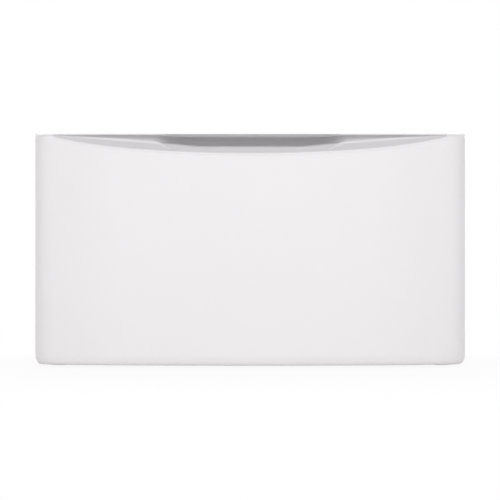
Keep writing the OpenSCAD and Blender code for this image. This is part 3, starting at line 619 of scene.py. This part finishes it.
class PEDESTAL_OT_front(bpy.types.Operator):
    """Builds the drawer's bowed front sheet with its rolled edges and the scoop's rim"""

    bl_idname = "pedestal.front"
    bl_label = "Drawer front"

    def execute(self, context):
        s = sizes()
        tilt = math.atan(ramp_slope())
        roll_steps, face_rows, rim_rows, side_rows = 10, 22, 14, 2
        stations = bow_stations(side_rows)
        # Height of the zone that holds the crease, depth of the plain sides, and the rim's hem
        rim_zone, side_zone, hem = 0.007, 0.03, 0.0014
        crease_peak = 0.7
        columns = []
        for point, out, _ in stations:
            share = rim_share(point.x) if point.y < FRONT_BACK_Y - side_zone else 0.0
            top = FRONT_Z1 - share * ramp_drop(bow_depth(point.x))
            radius = s.top_roll + share * (s.rim_roll - s.top_roll)
            turn_end = math.pi / 2 - share * tilt
            # The roll leaves the face where its tangent plane meets the ramp's
            roll_z = top - radius * math.tan(turn_end / 2)
            rows = []
            for i in range(roll_steps + 1):
                turn = math.pi / 2 * (1 - i / roll_steps)
                rows.append((s.bottom_roll * (1 - math.cos(turn)),
                             FRONT_Z0 + s.bottom_roll_height * (1 - math.sin(turn))))
            low_z, high_z = FRONT_Z0 + s.bottom_roll_height, roll_z - rim_zone
            for i in range(1, face_rows + 1):
                rows.append((0.0, low_z + (high_z - low_z) * i / face_rows))
            for i in range(1, rim_rows + 1):
                t = i / rim_rows
                crease = s.rim_crease * (smooth_step(t, 0, crease_peak) - smooth_step(t, crease_peak, 1))
                rows.append((share * crease, high_z + rim_zone * t))
            for i in range(1, roll_steps + 1):
                turn = turn_end * i / roll_steps
                rows.append((radius * (1 - math.cos(turn)), roll_z + radius * math.sin(turn)))
            inset, z = rows[-1]
            if share > 0.5:
                rows.append((inset + hem * math.cos(tilt), z + hem * math.sin(tilt)))
            else:
                rows.append((inset, z))
            columns.append([point - out * inset + Vector((0, 0, z)) for inset, z in rows])
        points, faces = [], []
        height = len(columns[0])
        for column in columns:
            points.extend(column)
        for k in range(len(columns) - 1):
            for i in range(height - 1):
                a, b = k * height + i, (k + 1) * height + i
                faces.append((a, b, b + 1, a + 1))
        self.close_plate(points, faces, columns, stations, 0, side_rows)
        self.close_plate(points, faces, columns, stations, height - 1, side_rows, self.at_top_corner)
        self.side_flanges(points, faces, columns)
        piece = new_piece("drawer_front_sheet", points, faces, "drawer_front")
        thickness = piece.modifiers.new("sheet", "SOLIDIFY")
        thickness.thickness = s.sheet
        thickness.offset = -1
        thickness.use_even_offset = True
        return {"FINISHED"}

    @staticmethod
    def at_top_corner(x):
        return rim_share(x) <= 0.5

    @staticmethod
    def close_plate(points, faces, columns, stations, row, side_rows, wanted=lambda x: True):
        """The flat plate from the bow's rolled edge back to the front's back edge."""
        blend_width = 0.1
        bowed = [k for k, (_, _, side_row) in enumerate(stations) if side_row == 0]
        corner = columns[bowed[-1]][row]
        kept = [k for k in bowed if wanted(stations[k][0].x)]
        rank = {}
        for k in kept:
            edge = columns[k][row]
            rank[k] = len(points)
            for i in range(side_rows + 1):
                t = i / side_rows
                side_y = corner.y + (FRONT_BACK_Y - corner.y) * t
                y = edge.y + (FRONT_BACK_Y - edge.y) * t
                blend = smooth_step(abs(edge.x), HALF_W - blend_width, corner.x - 1e-6)
                points.append(Vector((edge.x, y + (side_y - y) * blend if i else edge.y, edge.z)))
        for k in kept:
            if k + 1 in rank:
                for i in range(side_rows):
                    a, b = rank[k] + i, rank[k + 1] + i
                    faces.append((a, a + 1, b + 1, b))

    @staticmethod
    def side_flanges(points, faces, columns):
        """The return flanges at the back edge, which the inner panel is screwed to."""
        flange, notch = 0.015, 0.008
        for column, inward in ((columns[0], 1), (columns[-1], -1)):
            start = len(points)
            kept = [p for p in column if FRONT_Z0 + notch < p.z < FRONT_Z1 - notch]
            for p in kept:
                points.append(p.copy())
                points.append(Vector((p.x + inward * flange, p.y, p.z)))
            for i in range(len(kept) - 1):
                a = start + 2 * i
                faces.append((a, a + 1, a + 3, a + 2))


class PEDESTAL_OT_grip(bpy.types.Operator):
    """Builds the moulded grip: ramp, pocket, side grooves, ridges and the straight lip"""

    bl_idname = "pedestal.grip"
    bl_label = "Moulded grip"

    RIM_GAP_BACK = 0.0018
    RIM_GAP_DOWN = 0.0003
    GROOVE_SETBACK = 0.0005  # the grooves' centre line behind the lip
    ROOF_SINK = 0.0028  # how far the pocket's roof lies under the lip
    SHARP_EDGE = 0.0003  # rounding where an edge runs out
    DIP_FADE = (0.06, 0.1)  # the ledge's dip starts and is full this far from the middle

    @staticmethod
    def groove_taper(x):
        """1 where a side groove leaves the pocket, falling to 0 at the scoop's end."""
        s = sizes()
        start = s.pocket_half + s.pocket_blend
        return 1 - min(1.0, max(0.0, (abs(x) - start) / (s.scoop_half - start)))

    def section(self, x):
        """A closed outline of the grip at x, as distances behind the crown and depths under the top."""
        s = sizes()
        slope = ramp_slope()
        pocket_end = s.pocket_half + s.pocket_blend
        share = 1 - smooth_step(abs(x), s.pocket_half, pocket_end)
        bead_share = 1 - share ** 4
        recess = s.ledge_step * (1 - smooth_step(abs(x), s.pocket_half + s.pocket_blend / 3, pocket_end))
        ledge_share = 1 - smooth_step(abs(x), 0.6 * s.pocket_half, pocket_end)
        groove = s.groove_end_drop + self.groove_taper(x) * (s.groove_drop - s.groove_end_drop)
        # The grip starts a little behind and under the sheet's rolled rim
        rim_u = bow_depth(x) + self.RIM_GAP_BACK
        rim_d = ramp_drop(rim_u) + self.RIM_GAP_DOWN
        floor_d = groove + share * (s.pocket_floor - groove)
        roof_d = s.lip_thickness + self.ROOF_SINK * share
        radius = (floor_d - roof_d) / 2
        groove_u = s.lip_back + self.GROOVE_SETBACK
        centre_u = groove_u + share * (s.pocket_back - groove_u)
        centre_d = floor_d - radius
        groove_reach = radius + self.groove_taper(x) ** 2 * (s.groove_reach - radius)
        reach = groove_reach + share * (s.pocket_reach - groove_reach)
        # The tenths of a millimetre below keep the points in order where the grooves run out
        ridge_d = min(rim_d - 0.0004, groove + share * (rim_d - groove))
        ridge_u = min(s.lip_back - (ridge_d - s.lip_drop) / slope, centre_u - 0.0009)
        ridge_u = max(ridge_u, rim_u + 0.0002)
        ledge_d = min(ridge_d, groove + ledge_share * (s.ledge_drop - groove))
        bead = min(s.ridge_height * bead_share, (ridge_d - s.lip_thickness) / 2)
        crest_u = min(ridge_u + 0.25 * bead, centre_u - 0.0006)
        ledge_u = min(s.lip_back - (ledge_d - recess - s.lip_drop) / slope, centre_u - 0.0002)
        ledge_u = max(ledge_u, crest_u + 0.0005)
        rim, ridge, crest = (rim_u, rim_d), (ridge_u, ridge_d), (crest_u, ridge_d - bead)
        step, ledge = (crest_u + 0.0002, ridge_d + recess), (ledge_u, ledge_d)
        # A known fault: the sill's ends rise up to 2.1 mm into the record's finger_pocket opening, and the
        # roof's back edge hangs 1.9 mm into it, where the CAD solid reaches 0.3 mm into it at most
        sill_u = min(ledge_u + ledge_share * s.sill_depth, centre_u - 0.0001)
        sill = (sill_u, ledge_d - share * s.sill_rise)
        slant = 1 + share * (s.roof_slant - 1)
        hollow_steps, ramp_steps, dip_steps, wall_steps = 28, 8, 5, 12
        turns = [math.radians(90 - 180 * i / hollow_steps) for i in range(hollow_steps + 1)]
        hollow = [self.hollow_point(turn, centre_u, centre_d, reach, radius, slant) for turn in turns]
        front = [self.between(rim, ridge, i / ramp_steps) for i in range(ramp_steps)]
        front += self.rounded(front[-1], ridge, crest, 0.0016)
        front += self.rounded(ridge, crest, step, 0.0009)
        front += self.rounded(crest, step, ledge, 0.0006)
        # The dip lies between the step's rounding and the ledge's rolled edge, and fades out to the middle
        roll = self.rounded(step, ledge, sill, s.ledge_roll * ledge_share + self.SHARP_EDGE, 10)
        sag = s.ledge_sag * recess / s.ledge_step * smooth_step(abs(x), *self.DIP_FADE)
        near, far = front[-1], roll[0]
        for t in (i / dip_steps for i in range(1, dip_steps)):
            u, d = self.between(near, far, t)
            front.append((u, d + sag * math.sin(math.pi * t)))
        front += roll
        front += self.rounded(ledge, sill, hollow[0], 0.002 * ledge_share + self.SHARP_EDGE)
        front += hollow[:-1]
        # The lip's lower edge is well rounded, its upper one only just
        lip_face = 0.0005
        front += self.rounded(hollow[-2], hollow[-1], (s.lip_back, lip_face), 0.006)
        front += [(s.lip_back, lip_face), (s.lip_back + 0.0001, 0.0002), (s.lip_back + 0.0004, 0.0)]
        depth = FRONT_BACK_Y - CROWN_Y
        flange_d, flange_t = 0.013, 0.003
        back = [(depth, 0.0), (depth, flange_d), (depth - flange_t, flange_d),
                (depth - flange_t, s.lip_thickness)]
        plate_share = min(1.0, (centre_d - s.lip_thickness) / (radius + s.grip_wall))
        plate_turn = math.asin(plate_share ** (1 / slant))
        for i in range(wall_steps + 1):
            turn = -plate_turn + (math.pi / 2 + plate_turn) * i / wall_steps
            back.append(self.hollow_point(turn, centre_u, centre_d, reach + s.grip_wall,
                                          radius + s.grip_wall, slant))
        back.append((rim_u, max(rim_d, floor_d) + s.grip_wall))
        return front + back

    @staticmethod
    def hollow_point(turn, centre_u, centre_d, reach, radius, slant):
        """A point of the hollow: elliptical under its middle, flattened to a slanted roof over it."""
        if turn >= 0:
            return centre_u + reach * math.cos(turn), centre_d + radius * math.sin(turn)
        return (centre_u + reach * max(0.0, math.cos(turn)) ** slant,
                centre_d - radius * (-math.sin(turn)) ** slant)

    @staticmethod
    def between(start, end, t):
        return start[0] + (end[0] - start[0]) * t, start[1] + (end[1] - start[1]) * t

    @staticmethod
    def rounded(before, corner, after, radius, steps=6):
        """A corner of an outline turned into a curve that starts and ends on its two sides."""
        curve = []
        ends = []
        for side in (before, after):
            # Just under half of a side, so the curves at its two ends don't meet
            length = math.dist(side, corner)
            share = min(radius, 0.48 * length) / max(length, 1e-9)
            ends.append([c + (p - c) * share for p, c in zip(side, corner)])
        for i in range(steps + 1):
            t = i / steps
            curve.append(tuple((1 - t) ** 2 * p + 2 * t * (1 - t) * c + t * t * q
                               for p, c, q in zip(ends[0], corner, ends[1])))
        return curve

    def execute(self, context):
        reach = sizes().scoop_half - 0.0002
        slices = 260
        stations = [-reach + 2 * reach * i / slices for i in range(slices + 1)]
        points, faces = [], []
        for x in stations:
            points.extend((x, CROWN_Y + u, FRONT_Z1 - d) for u, d in self.section(x))
        n = len(points) // len(stations)
        for k in range(len(stations) - 1):
            for i in range(n):
                j = (i + 1) % n
                faces.append((k * n + i, k * n + j, (k + 1) * n + j, (k + 1) * n + i))
        faces.append(tuple(range(n)))
        faces.append(tuple(reversed(range(len(points) - n, len(points)))))
        new_piece("grip_moulding", points, faces, "grip_insert", smooth_angle=50)
        return {"FINISHED"}


class PEDESTAL_OT_cabinet(bpy.types.Operator):
    """Rounds the folds of the cabinet's sheets, rails and brackets"""

    bl_idname = "pedestal.cabinet"
    bl_label = "Cabinet"

    def execute(self, context):
        sheets = ["side_panel_left", "side_panel_right", "rear_panel", "top_plate", "top_rail_front",
                  "top_rail_rear", "base_rail_front", "base_rail_rear", "slide_bracket_left",
                  "slide_bracket_right"]
        for node in sheets:
            rounded_copy(node, sizes().fold_radius)
        for row in ("front", "rear"):
            for side in ("left", "right"):
                rounded_copy(f"leg_bracket_{row}_{side}", 2.5 * sizes().fold_radius)
        return {"FINISHED"}


class PEDESTAL_OT_drawer_box(bpy.types.Operator):
    """Rounds the folds of the drawer's box, inner panel, posts and stiffener"""

    bl_idname = "pedestal.drawer_box"
    bl_label = "Drawer box"

    def execute(self, context):
        for node in ("drawer_front_inner", "front_stiffener", "front_post_left", "front_post_right",
                     "drawer_side_left", "drawer_side_right", "drawer_back", "drawer_bottom"):
            rounded_copy(node, sizes().fold_radius)
        return {"FINISHED"}


class PEDESTAL_OT_slides(bpy.types.Operator):
    """Finishes the rails, cages and balls of both slides"""

    bl_idname = "pedestal.slides"
    bl_label = "Slides"

    def execute(self, context):
        for side in ("left", "right"):
            for rail in ("outer_rail", "middle_rail", "inner_rail"):
                rounded_copy(f"{rail}_{side}", 0.8 * sizes().fold_radius)
            for cage in ("outer", "inner"):
                rounded_copy(f"{cage}_cage_{side}", 0.5 * sizes().fold_radius)
                dress(f"{cage}_balls_{side}")
        return {"FINISHED"}


class PEDESTAL_OT_legs(bpy.types.Operator):
    """Builds the threaded levelling legs, their nuts and their ribbed rubber feet"""

    bl_idname = "pedestal.legs"
    bl_label = "Levelling legs"

    def execute(self, context):
        for row in ("front", "rear"):
            for side in ("left", "right"):
                self.build_leg(f"leveling_leg_{row}_{side}")
                rounded_copy(f"foot_pad_{row}_{side}", 2 * sizes().fold_radius, 3)
        rounded_copy("leg_weld_nuts", 1.5 * sizes().fold_radius)
        rounded_copy("leg_lock_nuts", 1.5 * sizes().fold_radius)
        return {"FINISHED"}

    def build_leg(self, node):
        """A flange, a hexagon and a stud with a rolled thread, as one turned body."""
        low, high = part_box(node)
        centre = (low + high) / 2
        flange_top, hex_top = 0.006, 0.0097
        flange_r = (high.x - low.x) / 2
        hex_r, stud_r, ridge = 0.012, 0.005, 0.0007
        # Rounding of the flange, chamfer of the hexagon, and the plain end of the stud
        edge, chamfer, stud_end = 0.0004, 0.0006, 0.0012
        pitch = sizes().thread_pitch
        around, per_pitch = 48, 6
        rows = [(low.z, 0.0, "round"), (low.z, flange_r - edge, "round"),
                (low.z + edge, flange_r, "round"), (flange_top - edge, flange_r, "round"),
                (flange_top, flange_r - edge, "round"), (flange_top, hex_r, "hex"),
                (hex_top - chamfer / 2, hex_r, "hex"), (hex_top, hex_r - chamfer, "hex"),
                (hex_top, stud_r - ridge, "round")]
        count = int((high.z - hex_top - stud_end) / pitch * per_pitch)
        for i in range(1, count + 1):
            rows.append((hex_top + i * pitch / per_pitch, stud_r, "thread"))
        rows += [(high.z - stud_end / 2, stud_r - ridge, "round"), (high.z, stud_r - 2 * ridge, "round"),
                 (high.z, 0.0, "round")]
        points, faces = [], []
        for z, radius, kind in rows:
            for k in range(around):
                turn = 2 * math.pi * k / around
                r = radius
                if kind == "hex":
                    r = radius * math.cos(math.pi / 6) / math.cos((turn % (math.pi / 3)) - math.pi / 6)
                    r = min(r, radius * 0.985)
                elif kind == "thread":
                    phase = ((z - hex_top) / pitch - k / around) % 1.0
                    r = radius - ridge * abs(2 * phase - 1)
                points.append((centre.x + r * math.cos(turn), centre.y + r * math.sin(turn), z))
        for i in range(len(rows) - 1):
            for k in range(around):
                j = (k + 1) % around
                faces.append((i * around + k, i * around + j, (i + 1) * around + j, (i + 1) * around + k))
        new_piece(node + "_threaded", points, faces, node, smooth_angle=28)


class PEDESTAL_OT_fasteners(bpy.types.Operator):
    """Finishes the screws and rivets, and the rubber bumpers"""

    bl_idname = "pedestal.fasteners"
    bl_label = "Fasteners"

    def execute(self, context):
        for node in ("front_screws", "panel_screws", "grip_screws", "rear_screws", "outer_rail_rivets",
                     "inner_rail_rivets", "deck_rivets"):
            rounded_copy(node, 0.8 * sizes().fold_radius)
        rounded_copy("drawer_bumpers", 2.5 * sizes().fold_radius, 4)
        return {"FINISHED"}


class PEDESTAL_OT_divider(bpy.types.Operator):
    """Rounds the moulded divider"""

    bl_idname = "pedestal.divider"
    bl_label = "Divider"

    def execute(self, context):
        rounded_copy("divider", 2 * sizes().fold_radius, 3)
        return {"FINISHED"}


class PEDESTAL_OT_stage(bpy.types.Operator):
    """Sets the floor, the soft lights, the white surround and the camera"""

    bl_idname = "pedestal.stage"
    bl_label = "Stage"

    def execute(self, context):
        self.floor()
        self.surround()
        mid_z = (FRONT_Z0 + FRONT_Z1) / 2
        # The front lamps stand well back, so the opened drawer isn't much brighter than the closed one
        self.softbox("front_softbox", (0, CROWN_Y - 4.4, 2.41), (0, CROWN_Y, mid_z), 4.06, 2.03, 57)
        self.softbox("low_front_softbox", (0, CROWN_Y - 3.7, 0.35), (0, CROWN_Y, 0.1), 4.04, 0.67, 31)
        self.softbox("left_softbox", (-2.2, -0.7, 0.6), (-0.3, -0.2, 0.2), 1.2, 1.1, 2.6)
        self.softbox("right_softbox", (2.2, -0.7, 0.6), (0.3, -0.2, 0.2), 1.2, 1.1, 2.6)
        self.softbox("rear_softbox", (0, 2.6, 0.9), (0, 0.3, 0.2), 1.8, 1.4, 26)
        self.softbox("top_softbox", (0, 1.9, 1.9), (0, 0.1, 0.37), 1.4, 1.4, 22)
        self.camera(mid_z)
        return {"FINISHED"}

    def floor(self):
        mesh = bpy.data.meshes.new("studio_floor")
        reach = 6
        mesh.from_pydata([(-reach, -reach, 0), (reach, -reach, 0), (reach, reach, 0), (-reach, reach, 0)],
                         [], [(0, 1, 2, 3)])
        floor = bpy.data.objects.new("studio_floor", mesh)
        link(floor)
        # Painted board, rolled matte white; the camera sees it near white, with the object's shadow kept
        material, tree, shader, place = new_material("rolled_matte_board")
        shader.inputs["Roughness"].default_value = 0.9
        shader.inputs["Base Color"].default_value = linear(colours().floor)
        # 92 % plain white within 0.35 m of the middle, where the shadow lies, and all white past 1.3 m
        far = add(tree, "ShaderNodeVectorMath", {0: place}, operation="LENGTH")
        fade = add(tree, "ShaderNodeMapRange", {"Value": far.outputs["Value"]},
                   interpolation_type="SMOOTHSTEP")
        for socket, value in (("From Min", 0.35), ("From Max", 1.3), ("To Min", 0.92), ("To Max", 1.0)):
            fade.inputs[socket].default_value = value
        amount = add(tree, "ShaderNodeMath", {0: self.seen_rays(tree), 1: fade.outputs["Result"]},
                     operation="MULTIPLY")
        white = add(tree, "ShaderNodeEmission", Strength=1.0)
        self.show_white(tree, amount.outputs[0], shader, white, tree.nodes["Material Output"])
        mesh.materials.append(material)

    def seen_rays(self, tree):
        """1 for the rays of the camera, of reflections and of glass, and 0 for those that light things."""
        path = add(tree, "ShaderNodeLightPath").outputs
        seen = add(tree, "ShaderNodeMath", {0: path["Is Camera Ray"], 1: path["Is Glossy Ray"]},
                   operation="MAXIMUM")
        seen = add(tree, "ShaderNodeMath", {0: seen.outputs[0], 1: path["Is Transmission Ray"]},
                   operation="MAXIMUM")
        return seen.outputs[0]

    def show_white(self, tree, share, lit, white, output):
        """Shows white instead of what the lamps light, by a share from 0 to 1."""
        mix = add(tree, "ShaderNodeMixShader", {0: share, 1: lit.outputs[0], 2: white.outputs[0]})
        tree.links.new(mix.outputs[0], output.inputs["Surface"])

    def surround(self):
        world = bpy.data.worlds.new("white_surround")
        bpy.context.scene.world = world
        world.use_nodes = True
        tree = world.node_tree
        tree.nodes.clear()
        ambient = add(tree, "ShaderNodeBackground", Color=(1, 1, 1, 1), Strength=0.45)
        white = add(tree, "ShaderNodeBackground", Color=(1, 1, 1, 1), Strength=1.0)
        self.show_white(tree, self.seen_rays(tree), ambient, white, add(tree, "ShaderNodeOutputWorld"))

    def softbox(self, name, place, aim, width, height, power):
        light = bpy.data.lights.new(name, "AREA")
        light.shape = "RECTANGLE"
        light.size = width
        light.size_y = height
        light.energy = power
        lamp = bpy.data.objects.new(name, light)
        link(lamp)
        lamp.location = place
        lamp.rotation_euler = (Vector(aim) - Vector(place)).to_track_quat("-Z", "Y").to_euler()
        lamp.visible_camera = False

    def camera(self, mid_z):
        s = sizes()
        camera = bpy.data.cameras.new("camera")
        camera.sensor_width = 36
        # The front's outline lies this far behind the crown, and the framing is a hair off centre
        corner_back, off_x, off_z = 0.081, -0.0003, -0.001
        camera.lens = camera.sensor_width * (s.camera_distance + corner_back) / s.frame_width
        camera.clip_end = 50
        rig = bpy.data.objects.new("camera", camera)
        link(rig)
        rig.location = (off_x, CROWN_Y - s.camera_distance, mid_z + off_z)
        rig.rotation_euler = (math.pi / 2, 0, 0)
        bpy.context.scene.camera = rig


class PEDESTAL_PT_panel(bpy.types.Panel):
    """Lists the pedestal's operators"""

    bl_idname = "PEDESTAL_PT_panel"
    bl_label = "Pedestal"
    bl_space_type = "VIEW_3D"
    bl_region_type = "UI"
    bl_category = "Pedestal"

    def draw(self, context):
        for operator in OPERATORS:
            self.layout.operator(operator.bl_idname)


OPERATORS = (
    PEDESTAL_OT_front, PEDESTAL_OT_grip, PEDESTAL_OT_cabinet, PEDESTAL_OT_drawer_box, PEDESTAL_OT_slides,
    PEDESTAL_OT_legs, PEDESTAL_OT_fasteners, PEDESTAL_OT_divider, PEDESTAL_OT_stage,
)
CLASSES = (PedestalSizes, PedestalColours) + OPERATORS + (PEDESTAL_PT_panel,)


def register():
    for cls in CLASSES:
        bpy.utils.register_class(cls)
    bpy.types.Scene.pedestal_sizes = bpy.props.PointerProperty(type=PedestalSizes)
    bpy.types.Scene.pedestal_colours = bpy.props.PointerProperty(type=PedestalColours)


def unregister():
    del bpy.types.Scene.pedestal_colours
    del bpy.types.Scene.pedestal_sizes
    for cls in reversed(CLASSES):
        bpy.utils.unregister_class(cls)


def main():
    register()
    bpy.context.scene.view_settings.view_transform = "Standard"
    for operator in OPERATORS:
        group, name = operator.bl_idname.split(".")
        getattr(getattr(bpy.ops, group), name)()


if __name__ == "__main__":
    main()
